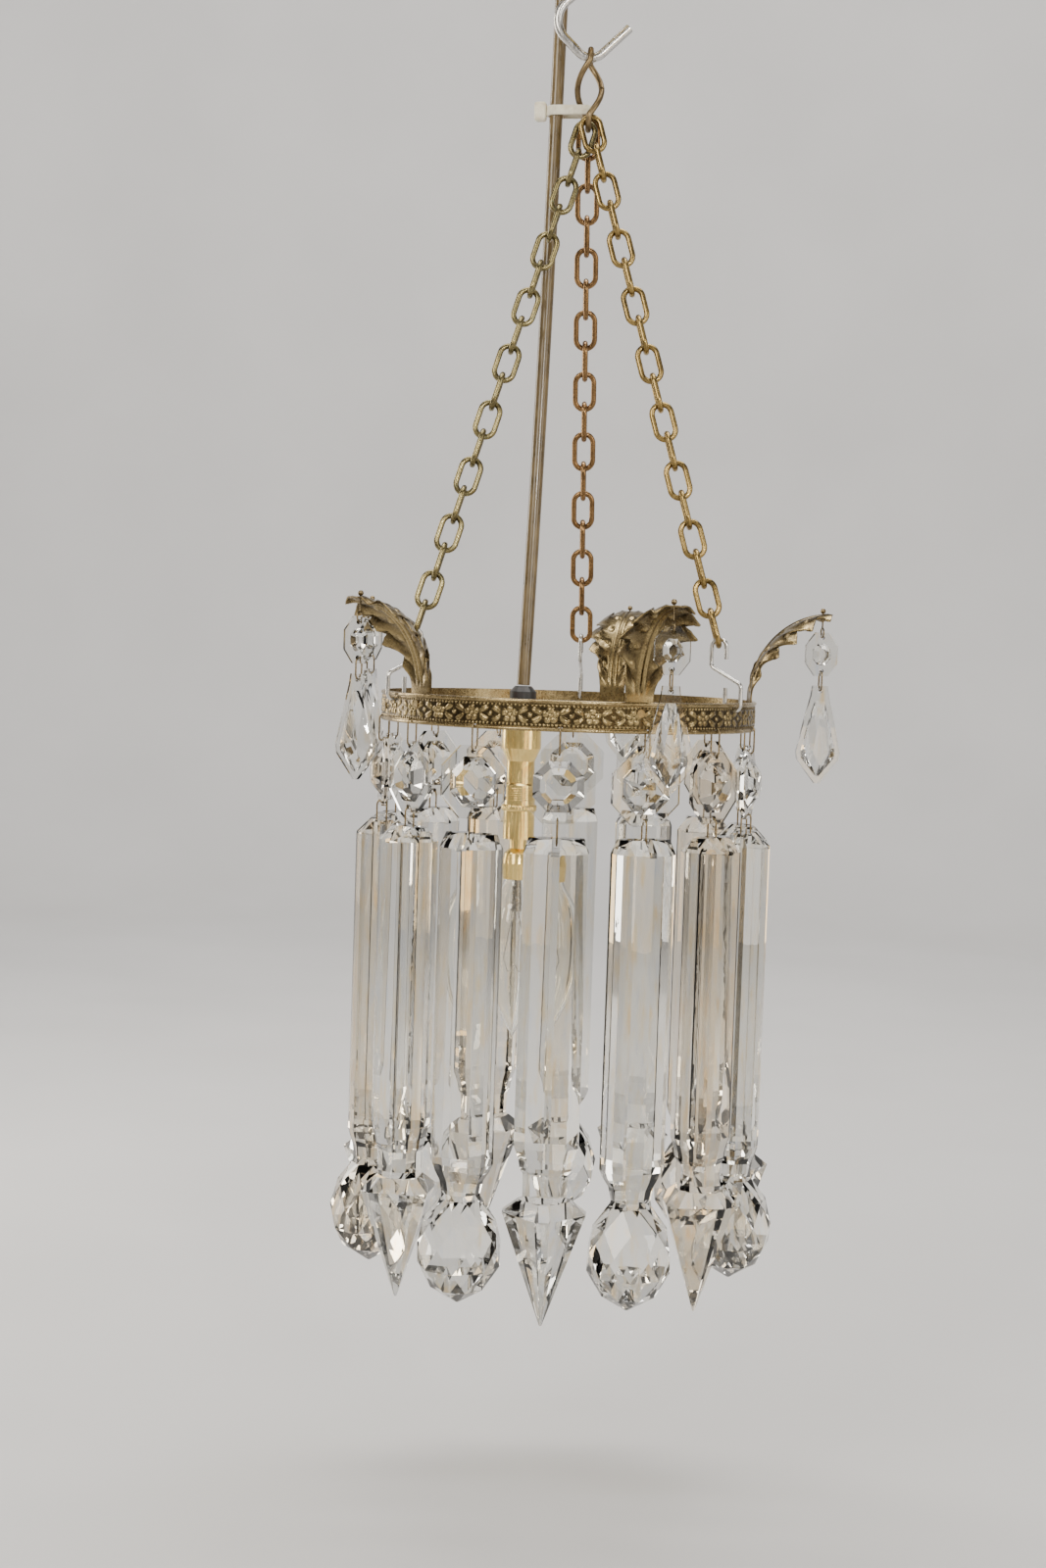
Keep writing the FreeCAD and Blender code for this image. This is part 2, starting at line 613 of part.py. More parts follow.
def make_hanging_pins():
    """The fourteen pins in the band, and the five headed pins in the leaves."""
    pins = []
    upper = -size["band_height"] + size["pin_hole_rise"]
    lower = -size["octagon_drop"] - size["hole_inset"]
    for azimuth in string_azimuths():
        pin = pin_between(upper, lower)
        pin.Placement = around(azimuth, HANG_RADIUS, RING_TOP).multiply(pin.Placement)
        pins.append(pin)
    bend, wire = size["pin_bend"], size["pin_wire"]
    eye_z = size["button_top"] - size["hole_inset"] + bend
    head_z = size["leaf_rise"] + 2 + size["leaf_thickness"]
    for index in range(int(size["leaf_count"])):
        eye = Part.makeTorus(bend, wire / 2, Vector(0, 0, eye_z), Vector(1, 0, 0))
        shank = Part.makeCylinder(wire / 2, head_z - eye_z - bend, Vector(0, 0, eye_z + bend))
        head = Part.makeSphere(1.5, Vector(0, 0, head_z + 0.6))
        pin = eye.fuse([shank, head]).removeSplitter()
        pin.Placement = pendant_frame(index)
        pins.append(pin)
    add_feature("hanging_pins", Part.makeCompound(pins))


def make_pendants():
    """A cut button and, below it, a pear-shaped drop on each leaf."""
    inset = size["hole_inset"]
    for index in range(int(size["leaf_count"])):
        width, length = size["button_width"], size["button_length"]
        centre = size["button_top"] - length / 2
        outline = scaled(regular(8, length, centre), width / length, 1, centre)
        rim = scaled(outline, 0.56, 0.5, centre)
        table = scaled(outline, 0.3, 0.26, centre)
        low_hole = centre - length / 2 + inset
        stone = cut_stone(outline, (rim, table), size["button_thickness"],
                          (centre + length / 2 - inset, low_hole))
        drop_hole = size["drop_top"] - inset
        both = Part.makeCompound([stone, pin_between(low_hole, drop_hole)])
        both.Placement = pendant_frame(index)
        add_feature(f"button_{index + 1}", both)
        drop = make_drop(drop_hole)
        drop.Placement = pendant_frame(index)
        add_feature(f"drop_{index + 1}", drop)


def make_drop(hole_z):
    """A pear drop: narrow at the hole, widest below its middle, and pointed."""
    top, width, length = size["drop_top"], size["drop_width"], size["drop_length"]
    right = [(0.17, 0.0), (0.2, 0.1), (0.34, 0.36), (0.5, 0.68), (0.47, 0.76), (0.05, 1.0)]
    outline = [(x * width, top - z * length) for x, z in right]
    outline += [(-x, z) for x, z in reversed(outline)]
    inner = [(0.1, 0.15), (0.14, 0.2), (0.26, 0.4), (0.4, 0.68), (0.38, 0.74), (0.03, 0.93)]
    rim = [(x * width, top - z * length) for x, z in inner]
    rim += [(-x, z) for x, z in reversed(rim)]
    table = scaled(rim, 0.42, 0.6, top - 0.62 * length)
    return cut_stone(outline, (rim, table), size["drop_thickness"], (hole_z,))


# ---- lampholder and bulb -----------------------------------------------------------------------

def holder_at(z):
    """A placement on the lampholder's axis, at a height from the ring's top."""
    at = around(size["bar_azimuth"], size["holder_offset"], RING_TOP + z).Base
    return Placement(at, Rotation())


def make_lampholder():
    s = "Sheet."
    gland = [("0", "0"), (s + "nipple_radius", "0"), (s + "nipple_radius", s + "nipple_length - 2.4"),
             (s + "gland_radius", s + "nipple_length - 2.4"),
             (s + "gland_radius", s + "nipple_length + 2"),
             (s + "flex_diameter / 2 + 1", s + "nipple_length + 5"),
             ("0", s + "nipple_length + 5")]
    gland_low = -size["bar_drop"] - size["nipple_length"] + 2.4
    turned_body("cable_gland", gland, holder_at(gland_low))
    cap_top = gland_low + 1.5
    cap = [(s + "nipple_radius", s + "cap_neck_height + " + s + "cap_height"),
           (s + "nipple_radius", s + "cap_neck_height + 9"),
           (s + "cap_neck_radius - 1.2", s + "cap_neck_height + 6"),
           (s + "cap_neck_radius - 1.2", "0"), (s + "cap_neck_radius", "0"),
           (s + "cap_neck_radius", s + "cap_neck_height - 7"),
           (s + "cap_radius", s + "cap_neck_height"),
           (s + "cap_radius", s + "cap_neck_height + 10"),
           (s + "cap_radius - 3", s + "cap_neck_height + 12")]
    cap_low = cap_top - size["cap_neck_height"] - size["cap_height"]
    turned_body("lampholder_cap", cap, holder_at(cap_low))
    body = [(s + "socket_radius", "0"), (s + "sleeve_radius", "0"),
            (s + "sleeve_radius", s + "sleeve_height - 1.2"),
            (s + "sleeve_radius - 1", s + "sleeve_height"),
            (s + "cap_neck_radius - 1.3", s + "sleeve_height"),
            (s + "cap_neck_radius - 1.3", s + "sleeve_height + 4"),
            (s + "socket_radius", s + "sleeve_height + 4")]
    body_low = cap_low - size["sleeve_height"]
    turned_body("lampholder_body", body, holder_at(body_low))
    ring = [(s + "sleeve_radius + 0.02", "0"), (s + "shade_ring_radius", "0"),
            (s + "shade_ring_radius", "3.4 mm"), (s + "sleeve_radius + 0.02", "3.4 mm")]
    ring_low = body_low + size["sleeve_height"] - size["ring_thread_height"] - 3.4
    turned_body("shade_ring", ring, holder_at(ring_low))
    block_low = body_low + size["bulb_pin_length"] - size["bulb_neck"] + 1.6
    block = Part.makeCylinder(size["socket_radius"] - 0.05, 6, Vector(0, 0, 0))
    plungers = []
    for side in (-1, 1):
        seat = Part.makeCylinder(1.0, 7, Vector(2.1 * side, 0, -1.5))
        block = block.cut(seat)
        plungers.append(Part.makeCylinder(1.0, 7, Vector(2.1 * side, 0, -1.5)))
    parts = Part.makeCompound([block] + plungers)
    parts.Placement = holder_at(block_low)
    add_feature("contact_block", parts)
    return body_low


def make_bulb(body_low):
    """A clear candle bulb: its cap, its glass, and the filament on a glass mount."""
    s = "Sheet."
    skirt_low = body_low - size["bulb_neck"] - size["bulb_skirt_height"]
    cap = [("0", s + "bulb_skirt_height + " + s + "bulb_pin_length"),
           (s + "bulb_pin_radius", s + "bulb_skirt_height + " + s + "bulb_pin_length"),
           (s + "bulb_pin_radius", s + "bulb_skirt_height"),
           (s + "bulb_skirt_radius - 1", s + "bulb_skirt_height - 2.6"),
           (s + "bulb_skirt_radius", s + "bulb_skirt_height - 8"),
           (s + "bulb_skirt_radius - 0.6", "0"), (s + "bulb_skirt_radius - 1.4", "0"),
           (s + "bulb_skirt_radius - 1.4", s + "bulb_skirt_height - 8"),
           (s + "bulb_pin_radius - 1", s + "bulb_skirt_height - 3"),
           ("0", s + "bulb_skirt_height - 3")]
    turned_body("bulb_cap", cap, holder_at(skirt_low))
    add_feature("bulb_glass", bulb_glass()).Placement = holder_at(skirt_low)
    add_feature("bulb_filament", bulb_filament()).Placement = holder_at(skirt_low)


def bulb_outline(inset):
    """The candle's side, from the neck inside the cap to the tip, as a smooth curve."""
    radius, length = size["bulb_radius"], size["bulb_length"]
    neck = size["bulb_skirt_radius"] - 1.5
    shares = [(neck, 6.0), (neck + 0.2, -1.0), (0.72 * radius, -0.13 * length),
              (radius, -0.4 * length), (0.82 * radius, -0.66 * length),
              (0.36 * radius, -0.87 * length), (0.12 * radius, -0.96 * length)]
    points = [Vector(max(r - inset, 0.6), 0, z) for r, z in shares]
    return points + [Vector(0, 0, -length + inset)]


def bulb_glass():
    wall = size["bulb_wall"]
    shapes = []
    for inset in (0.0, wall):
        points = bulb_outline(inset)
        curve = Part.BSplineCurve()
        curve.interpolate(points)
        top, tip = points[0], points[-1]
        lid = Vector(0, 0, top.z - inset * 2)
        rim = Vector(top.x, 0, top.z - inset * 2)
        curve_edge = curve.toShape()
        if inset:
            rim = Vector(top.x, 0, top.z + 2)
            lid = Vector(0, 0, top.z + 2)
        edges = [curve_edge, Part.LineSegment(tip, lid).toShape(),
                 Part.LineSegment(lid, rim).toShape()]
        if rim.distanceToPoint(top) > 1e-6:
            edges.append(Part.LineSegment(rim, top).toShape())
        face = Part.Face(Part.Wire(Part.sortEdges(edges)[0]))
        shapes.append(face.revolve(Vector(0, 0, 0), Vector(0, 0, 1), 360))
    return shapes[0].cut(shapes[1])


def bulb_filament():
    """The glass stem, its two lead wires and a looped filament."""
    stem = Part.makeCone(3.2, 2.0, 24, Vector(0, 0, -18))
    parts = [stem]
    loop = [Vector(-6, 0, -44), Vector(-3, 0, -54), Vector(0, 0, -46), Vector(3, 0, -54),
            Vector(6, 0, -44)]
    wire, _ = rounded_path(loop, [1.2, 1.2, 1.2])
    parts.append(tube_along(wire, 0.5))
    for side in (-1, 1):
        lead = Part.LineSegment(Vector(1.2 * side, 0, -17), Vector(6 * side, 0, -44)).toShape()
        parts.append(tube_along(Part.Wire([lead]), 0.6))
    return parts[0].multiFuse(parts[1:])


# ---- flex and its tie --------------------------------------------------------------------------

def make_flex():
    points = [Vector(*p) for p in FLEX_ROUTE]
    wire, radii = rounded_path(points, [None] * (len(points) - 2))
    print("flex bend radii:", [round(r) for r in radii])
    flex = tube_along(wire, size["flex_diameter"])
    wanted = math.pi * (size["flex_diameter"] / 2) ** 2 * wire.Length
    print("flex length %.1f, volume ratio %.4f" % (wire.Length, flex.Volume / wanted))
    add_feature("flex", flex)


def make_cable_tie():
    """A nylon tie that holds the flex to one strand of the twisted link."""
    flex_at, strand_at = Vector(-17.4, 8.3, 0), Vector(-2.2, 6.1, 0)
    inner, wall, tall = 4.3, size["tie_wall"], size["tie_height"]
    span = strand_at - flex_at

    def racetrack(radius):
        ends = [Part.makeCylinder(radius, tall, at) for at in (flex_at, strand_at)]
        turn = Rotation(Vector(1, 0, 0), span)
        block = Part.makeBox(span.Length, 2 * radius, tall, Vector(0, -radius, 0))
        block.Placement = Placement(flex_at, turn)
        return ends[0].fuse([ends[1], block])

    tie = racetrack(inner + wall).cut(racetrack(inner))
    head = Part.makeBox(9, 7, 11, Vector(-inner - wall - 8, -3.5, -2))
    head.Placement = Placement(flex_at, Rotation(Vector(1, 0, 0), span))
    tie = tie.fuse(head.cut(racetrack(inner + 0.3))).removeSplitter()
    tie.translate(Vector(0, 0, -size["tie_drop"] - tall / 2))
    add_feature("cable_tie", tie)


# ---- build, check and write --------------------------------------------------------------------

def check_and_export():
    doc.recompute()
    for item in doc.Objects:
        if "Invalid" in item.State or "Error" in item.State:
            raise RuntimeError(f"{item.Name} failed: {item.State}")
    os.makedirs("parts", exist_ok=True)
    for name, item in nodes.items():
        shape = item.Shape
        if shape.isNull() or not shape.isValid():
            raise RuntimeError(f"{name} has no valid shape")
        shape.exportStep(f"parts/{name}.step")
    print(len(nodes), "sub-parts written")


make_ceiling_plate()
make_ceiling_hook()
make_top_link()
for chain in CHAIN_AZIMUTHS:
    make_chain(chain)
make_end_hooks()
make_ring_band()
make_crossbar()
make_rivets()
make_strings()
make_leaves()
make_hanging_pins()
make_pendants()
make_bulb(make_lampholder())
make_flex()
make_cable_tie()
check_and_export()
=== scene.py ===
import json
import math

import bmesh
import bpy
from mathutils import Matrix, Vector


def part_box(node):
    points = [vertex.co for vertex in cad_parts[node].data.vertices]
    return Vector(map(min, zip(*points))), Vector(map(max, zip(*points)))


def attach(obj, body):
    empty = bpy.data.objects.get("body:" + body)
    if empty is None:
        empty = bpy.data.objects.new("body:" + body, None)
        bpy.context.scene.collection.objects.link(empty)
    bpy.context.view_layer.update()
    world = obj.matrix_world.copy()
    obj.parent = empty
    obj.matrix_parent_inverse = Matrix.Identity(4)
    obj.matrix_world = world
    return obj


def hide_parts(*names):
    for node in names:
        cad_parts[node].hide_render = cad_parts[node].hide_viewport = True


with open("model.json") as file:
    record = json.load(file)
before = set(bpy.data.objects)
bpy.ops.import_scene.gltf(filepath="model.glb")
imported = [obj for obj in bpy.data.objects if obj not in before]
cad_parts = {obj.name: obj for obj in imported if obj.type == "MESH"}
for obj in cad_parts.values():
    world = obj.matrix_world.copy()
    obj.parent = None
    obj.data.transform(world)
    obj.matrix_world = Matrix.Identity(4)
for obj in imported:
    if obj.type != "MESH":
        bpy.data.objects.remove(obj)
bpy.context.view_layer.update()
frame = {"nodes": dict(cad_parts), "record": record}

NODES = frame["nodes"]
JOINTS = {j["name"]: j for j in frame["record"]["behaviour"]["joints"]}

# Sizes of the object, in metres.
RING_TOP = -0.405
RING_RADIUS = 0.102
BAND_HEIGHT = 0.016
LEAF_AZIMUTHS = [-52 + 72 * k for k in range(5)]
HOLDER_AZIMUTH, HOLDER_OFFSET = -75, 0.026
FLEX_ROUTE = [(-0.0162, 0.0092, -0.0015), (-0.0174, 0.0083, -0.091),
              (-0.0206, 0.0026, -0.262), (-0.0251, -0.0067, -0.400)]
FLEX_DIAMETER = 0.0072
MM = 0.001

# Where the camera stands, and how far it is pitched down and rolled, in degrees.
CAMERA_PLACE = (-0.0235, -1.2, -0.373)
CAMERA_PITCH, CAMERA_ROLL = 3.9, 1.9


# ---- camera and cord ---------------------------------------------------------------------------

def make_camera():
    """Just below the middle of the object, pitched and rolled a little."""
    data = bpy.data.cameras.new("camera")
    data.lens, data.sensor_width, data.clip_start = 50.0, 36.0, 0.01
    camera = bpy.data.objects.new("camera", data)
    bpy.context.collection.objects.link(camera)
    pitch = Matrix.Rotation(math.radians(90 - CAMERA_PITCH), 4, "X")
    roll = Matrix.Rotation(math.radians(CAMERA_ROLL), 4, "Z")
    camera.matrix_world = Matrix.Translation(CAMERA_PLACE) @ (pitch @ roll)
    bpy.context.scene.camera = camera


def make_flex():
    """The round flex, taut from the lampholder's gland to the ceiling plate."""
    data = bpy.data.curves.new("flex_cord", "CURVE")
    data.dimensions = "3D"
    spline = data.splines.new("NURBS")
    route = FLEX_ROUTE[::-1]
    spline.points.add(len(route) - 1)
    for point, place in zip(spline.points, route):
        point.co = (*place, 1.0)
    spline.order_u = 3
    spline.use_endpoint_u = True
    spline.resolution_u = 24
    data.bevel_depth = FLEX_DIAMETER / 2
    data.bevel_resolution = 6
    data.use_fill_caps = True
    flex = bpy.data.objects.new("flex_cord", data)
    bpy.context.collection.objects.link(flex)
    data.materials.append(sheath("flex_sheath"))
    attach(flex, "frame")
    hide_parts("flex")


# ---- materials ---------------------------------------------------------------------------------

def new_material(name):
    """A new node material, with its node tree and its Principled shader."""
    material = bpy.data.materials.new(name)
    material.use_nodes = True
    tree = material.node_tree
    shader = next(n for n in tree.nodes if n.type == "BSDF_PRINCIPLED")
    return material, tree, shader


def noise(tree, scale, detail=6.0, rough=0.6, stretch=(1, 1, 1)):
    """Noise in the object's own metres, stretched along an axis where needed."""
    place = tree.nodes.new("ShaderNodeTexCoord")
    mapping = tree.nodes.new("ShaderNodeMapping")
    mapping.inputs["Scale"].default_value = stretch
    tree.links.new(place.outputs["Object"], mapping.inputs["Vector"])
    texture = tree.nodes.new("ShaderNodeTexNoise")
    texture.inputs["Scale"].default_value = scale
    texture.inputs["Detail"].default_value = detail
    texture.inputs["Roughness"].default_value = rough
    tree.links.new(mapping.outputs["Vector"], texture.inputs["Vector"])
    return texture.outputs["Fac"]


def ramp(tree, value, stops):
    """A colour ramp; stops are (position, colour)."""
    node = tree.nodes.new("ShaderNodeValToRGB")
    while len(node.color_ramp.elements) < len(stops):
        node.color_ramp.elements.new(0.5)
    for element, (position, colour) in zip(node.color_ramp.elements, stops):
        element.position = position
        element.color = (*colour, 1.0)
    tree.links.new(value, node.inputs["Fac"])
    return node.outputs["Color"]


def spread(tree, value, low, high, start=0.3, end=0.7):
    """A value between low and high, from one between start and end."""
    node = tree.nodes.new("ShaderNodeMapRange")
    for key, number in (("From Min", start), ("From Max", end), ("To Min", low), ("To Max", high)):
        node.inputs[key].default_value = number
    tree.links.new(value, node.inputs["Value"])
    return node.outputs["Result"]


def mixed(tree, factor, first, second):
    """Two colours mixed by a factor; each may be a socket or a plain value."""
    node = tree.nodes.new("ShaderNodeMix")
    node.data_type = "RGBA"
    for value, key in ((factor, 0), (first, 6), (second, 7)):
        if hasattr(value, "links"):
            tree.links.new(value, node.inputs[key])
        else:
            node.inputs[key].default_value = value if key == 0 else (*value, 1.0)
    return node.outputs[2]


def bump(tree, shader, height, strength, distance):
    """Small relief in the shading; distance is the relief's depth in metres."""
    node = tree.nodes.new("ShaderNodeBump")
    node.inputs["Strength"].default_value = strength
    node.inputs["Distance"].default_value = distance
    tree.links.new(height, node.inputs["Height"])
    tree.links.new(node.outputs["Normal"], shader.inputs["Normal"])


def brass(name, bright, dark, tarnish_and_shade, wear=0.45, gloss=(0.18, 0.38), relief=False):
    """Worn brass: bright where it is rubbed, with small tarnished spots, and with relief, dark
    patina and painted shade in the hollows.
    """
    material, tree, shader = new_material(name)
    shader.inputs["Metallic"].default_value = 1.0
    cloud = noise(tree, 90, 8, 0.65)
    colour = ramp(tree, cloud, [(wear - 0.14, dark), (wear + 0.08, bright), (1.0, bright)])
    spots = spread(tree, noise(tree, 420, 4, 0.7), 0.0, 0.55, 0.56, 0.74)
    colour = mixed(tree, spots, colour, tarnish_and_shade)
    # With relief, the mesh's attribute darkens the hollows: part patina, part painted shade.
    if relief:
        patina_and_shade = tree.nodes.new("ShaderNodeAttribute")
        patina_and_shade.attribute_name = "patina_and_shade"
        colour = mixed(tree, patina_and_shade.outputs["Fac"], colour, tarnish_and_shade)
    tree.links.new(colour, shader.inputs["Base Color"])
    fine = noise(tree, 900, 5, 0.7)
    tree.links.new(spread(tree, fine, *gloss), shader.inputs["Roughness"])
    bump(tree, shader, fine, 0.25, 0.00006)
    return material


def steel(name):
    """Bright drawn wire with fine lengthwise lines."""
    material, tree, shader = new_material(name)
    shader.inputs["Metallic"].default_value = 1.0
    lines = noise(tree, 700, 6, 0.6, (1, 1, 0.12))
    tree.links.new(ramp(tree, lines, [(0.3, (0.52, 0.51, 0.49)), (0.6, (0.60, 0.59, 0.57))]),
                   shader.inputs["Base Color"])
    tree.links.new(spread(tree, lines, 0.16, 0.36), shader.inputs["Roughness"])
    bump(tree, shader, lines, 0.08, 0.00003)
    return material


def crystal(name, tint, painted_fire):
    """Cut lead glass: clear, with amber and blue streaks painted into its colour, as painted
    dispersion and painted reflection, and a few tiny marks.
    """
    material, tree, shader = new_material(name)
    shader.inputs["Transmission Weight"].default_value = 1.0
    shader.inputs["IOR"].default_value = 1.56
    # Painted dispersion and painted reflection: slow amber and blue streaks in the glass's own
    # colour.
    painted_fire_bands = noise(tree, 60, 2, 0.5, (3.0, 3.0, 0.6))
    painted_cool_fire = (0.72, 0.77, 0.86)
    colour = ramp(tree, painted_fire_bands, [(0.30, painted_fire), (0.42, tint), (0.60, tint), (0.72, painted_cool_fire)])
    tree.links.new(colour, shader.inputs["Base Color"])
    marks = noise(tree, 500, 5, 0.7)
    tree.links.new(spread(tree, marks, 0.0, 0.05, 0.55, 0.8), shader.inputs["Roughness"])
    bump(tree, shader, noise(tree, 160, 2, 0.4), 0.08, 0.00008)
    return material


def lamp_glass(name):
    """Thin blown glass with slight waves."""
    material, tree, shader = new_material(name)
    shader.inputs["Transmission Weight"].default_value = 1.0
    shader.inputs["IOR"].default_value = 1.46
    waves = noise(tree, 45, 2, 0.4)
    tree.links.new(ramp(tree, waves, [(0.3, (0.96, 0.97, 0.95)), (0.7, (1.0, 0.99, 0.96))]),
                   shader.inputs["Base Color"])
    tree.links.new(spread(tree, waves, 0.0, 0.03), shader.inputs["Roughness"])
    bump(tree, shader, waves, 0.1, 0.0002)
    return material


def sheath(name):
    """The flex's golden brown sheath, a little uneven and scuffed."""
    material, tree, shader = new_material(name)
    scuffs = noise(tree, 260, 6, 0.65, (1, 1, 0.25))
    colour = ramp(tree, scuffs, [(0.32, (0.06, 0.04, 0.013)), (0.52, (0.125, 0.083, 0.028)),
                                 (0.75, (0.20, 0.14, 0.055))])
    tree.links.new(colour, shader.inputs["Base Color"])
    tree.links.new(spread(tree, scuffs, 0.22, 0.42), shader.inputs["Roughness"])
    shader.inputs["Coat Weight"].default_value = 0.35
    shader.inputs["Coat Roughness"].default_value = 0.15
    bump(tree, shader, scuffs, 0.25, 0.0002)
    return material


def plastic(name, light, dark):
    """Moulded plastic with a fine grain and slight soiling."""
    material, tree, shader = new_material(name)
    soil = noise(tree, 150, 6, 0.6)
    tree.links.new(ramp(tree, soil, [(0.35, dark), (0.6, light)]), shader.inputs["Base Color"])
    fine = noise(tree, 900, 3, 0.5)
    tree.links.new(spread(tree, fine, 0.3, 0.5), shader.inputs["Roughness"])
    shader.inputs["Subsurface Weight"].default_value = 0.05
    bump(tree, shader, fine, 0.2, 0.00005)
    return material


# ---- mesh helpers ------------------------------------------------------------------------------

def ease(low, high, x):
    """A smooth step from 0 at low to 1 at high."""
    t = min(max((x - low) / (high - low), 0.0), 1.0)
    return t * t * (3 - 2 * t)


def dome(distance, radius):
    """A round boss: 1 at its middle, 0 from its radius outward."""
    return max(0.0, 1.0 - (distance / radius) ** 2) ** 0.7


def grid_object(name, rows, columns, point, close_rows=False, close_columns=False, caps=False):
    """A smooth grid of quads. point(i, j) gives a place and how much patina and painted shade the
    surface has there.

    caps closes the first and the last row with a face each.
    """
    made = [point(i, j) for i in range(rows) for j in range(columns)]
    faces = []
    for i in range(rows if close_rows else rows - 1):
        for j in range(columns if close_columns else columns - 1):
            a, b = i * columns + j, i * columns + (j + 1) % columns
            c, d = ((i + 1) % rows) * columns + (j + 1) % columns, ((i + 1) % rows) * columns + j
            faces.append((a, b, c, d))
    if caps:
        faces += [tuple(range(columns))[::-1], tuple(range((rows - 1) * columns, rows * columns))]
    mesh = bpy.data.meshes.new(name)
    mesh.from_pydata([place for place, _ in made], [], faces)
    # Per-point amount of patina and painted shade, read by the brass material.
    layer = mesh.attributes.new("patina_and_shade", "FLOAT", "POINT")
    layer.data.foreach_set("value", [patina_and_shade for _, patina_and_shade in made])
    mesh.polygons.foreach_set("use_smooth", [True] * len(mesh.polygons))
    mesh.validate()
    shell = bmesh.new()
    shell.from_mesh(mesh)
    bmesh.ops.recalc_face_normals(shell, faces=shell.faces)
    shell.to_mesh(mesh)
    shell.free()
    thing = bpy.data.objects.new(name, mesh)
    bpy.context.collection.objects.link(thing)
    return thing


def dress(thing, material, body="frame", replaces=()):
    """Gives a new piece its material and the body that it rides on."""
    thing.data.materials.append(material)
    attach(thing, body)
    if replaces:
        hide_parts(*replaces)
    return thing


def ring_place(azimuth, radius, z):
    """A point at an azimuth in degrees, measured from the front towards +X."""
    a = math.radians(azimuth)
    return (radius * math.sin(a), -radius * math.cos(a), z)


# ---- ring frieze -------------------------------------------------------------------------------

# Millimetres: half the frieze's height, how far it stands off the band, and its motifs.
FRIEZE_UNITS, FRIEZE_HALF, FRIEZE_DEPTH = 30, 5.7, 0.75
PETALS, PETAL_REACH, PETAL_RADIUS = 5, 2.75, 1.6
SPRIG_ALONG, SPRIG_UP, SPRIG_LENGTH, SPRIG_WIDTH = 7.1, 2.5, 3.2, 1.35
EYE_RADIUS, BERRY_ALONG, BERRY_RADIUS = 1.15, 10.6, 1.1
BEAD_PITCH, BEAD_UP, BEAD_RADIUS = 2.1, 5.0, 0.62


def frieze_height(along, up):
    """Height of the pressed pattern: along is mm from a flower's middle, up mm from the band's."""
    around, out = math.atan2(up, along), math.hypot(along, up)
    height = 0.9 * dome(out, EYE_RADIUS)
    for petal in range(PETALS):
        turn = math.pi / 2 + petal * 2 * math.pi / PETALS
        centre = (PETAL_REACH * math.cos(turn), PETAL_REACH * math.sin(turn))
        gap = math.hypot(along - centre[0], up - centre[1])
        height = max(height, dome(gap, PETAL_RADIUS) * (1 - 0.55 * dome(gap, 0.5)))
    side = abs(along)
    for lift in (-1, 1):
        dx = side - SPRIG_ALONG
        dy = up * lift - SPRIG_UP + 0.10 * dx ** 2
        turned = (dx * 0.86 + dy * 0.5, -dx * 0.5 + dy * 0.86)
        leaf = math.hypot(turned[0] / SPRIG_LENGTH, turned[1] / SPRIG_WIDTH)
        vein = 0.45 * dome(abs(turned[1]), 0.35)
        height = max(height, (dome(leaf, 1.0) - vein) * 0.85)
    height = max(height, 0.8 * dome(math.hypot(side - BERRY_ALONG, up), BERRY_RADIUS))
    bead_along = (along + 40.0) % BEAD_PITCH - BEAD_PITCH / 2
    height = max(height, 0.6 * dome(math.hypot(bead_along, abs(up) - BEAD_UP), BEAD_RADIUS))
    grain = 0.04 * math.sin(7.3 * around + 3 * out)
    return min(max(height + grain, 0.0), 1.0)


def make_frieze():
    """The band's pressed face: flowers, leaf sprigs and rows of beads, standing off the band."""
    front, back, columns = 31, 2, 1680
    length = 2 * math.pi * RING_RADIUS / MM
    pitch = length / FRIEZE_UNITS
    middle = RING_TOP - BAND_HEIGHT / 2

    def point(i, j):
        angle = 360.0 * j / columns
        along = (length * j / columns) % pitch - pitch / 2
        if i >= front:
            up = FRIEZE_HALF * (1 - 2 * (i - front))
            return ring_place(angle, RING_RADIUS - 0.4 * MM, middle + up * MM), 0.0
        up = FRIEZE_HALF * (2 * i / (front - 1) - 1)
        edge = ease(FRIEZE_HALF, FRIEZE_HALF - 0.5, abs(up))
        height = frieze_height(along, up)
        radius = RING_RADIUS + (0.08 + FRIEZE_DEPTH * height * edge) * MM
        # Lower parts of the pattern get patina and painted shade.
        return ring_place(angle, radius, middle + up * MM), 0.85 * (1 - ease(0.05, 0.45, height))

    frieze = grid_object("ring_frieze", front + back, columns, point, True, True)
    # The third colour is the tarnished spots' colour, and the near-black patina and painted shade
    # in the hollows.
    dress(frieze, brass("frieze_brass", (0.36, 0.275, 0.13), (0.17, 0.12, 0.055),
                        (0.03, 0.02, 0.010), relief=True))


# ---- acanthus leaves ---------------------------------------------------------------------------

# Millimetres: how far a leaf reaches out and up, its length, and its lobes on each side.
LEAF_REACH, LEAF_RISE, LEAF_ARC, LOBES = 43.3, 45.6, 72.0, 5
FOOT_INSET, FOOT_TOP, FOOT_LENGTH = 1.88, 3, 13
# Shares of the leaf's length: where the bosses start and their step, and how the lobes fan out.
BOSSES, BOSS_START, BOSS_STEP = 4, 0.22, 0.165
FAN_SWEEP, FAN_START = 0.16, 0.25


def leaf_width(share):
    """The leaf's full width in mm at a share of the way from the band to its tip."""
    if share < 0.5:
        return 15 + 28 * math.sin(math.pi * max(share, 0.0)) ** 1.5
    return 9 + 34 * math.cos(math.pi * (min(share, 1.0) - 0.5)) ** 0.8


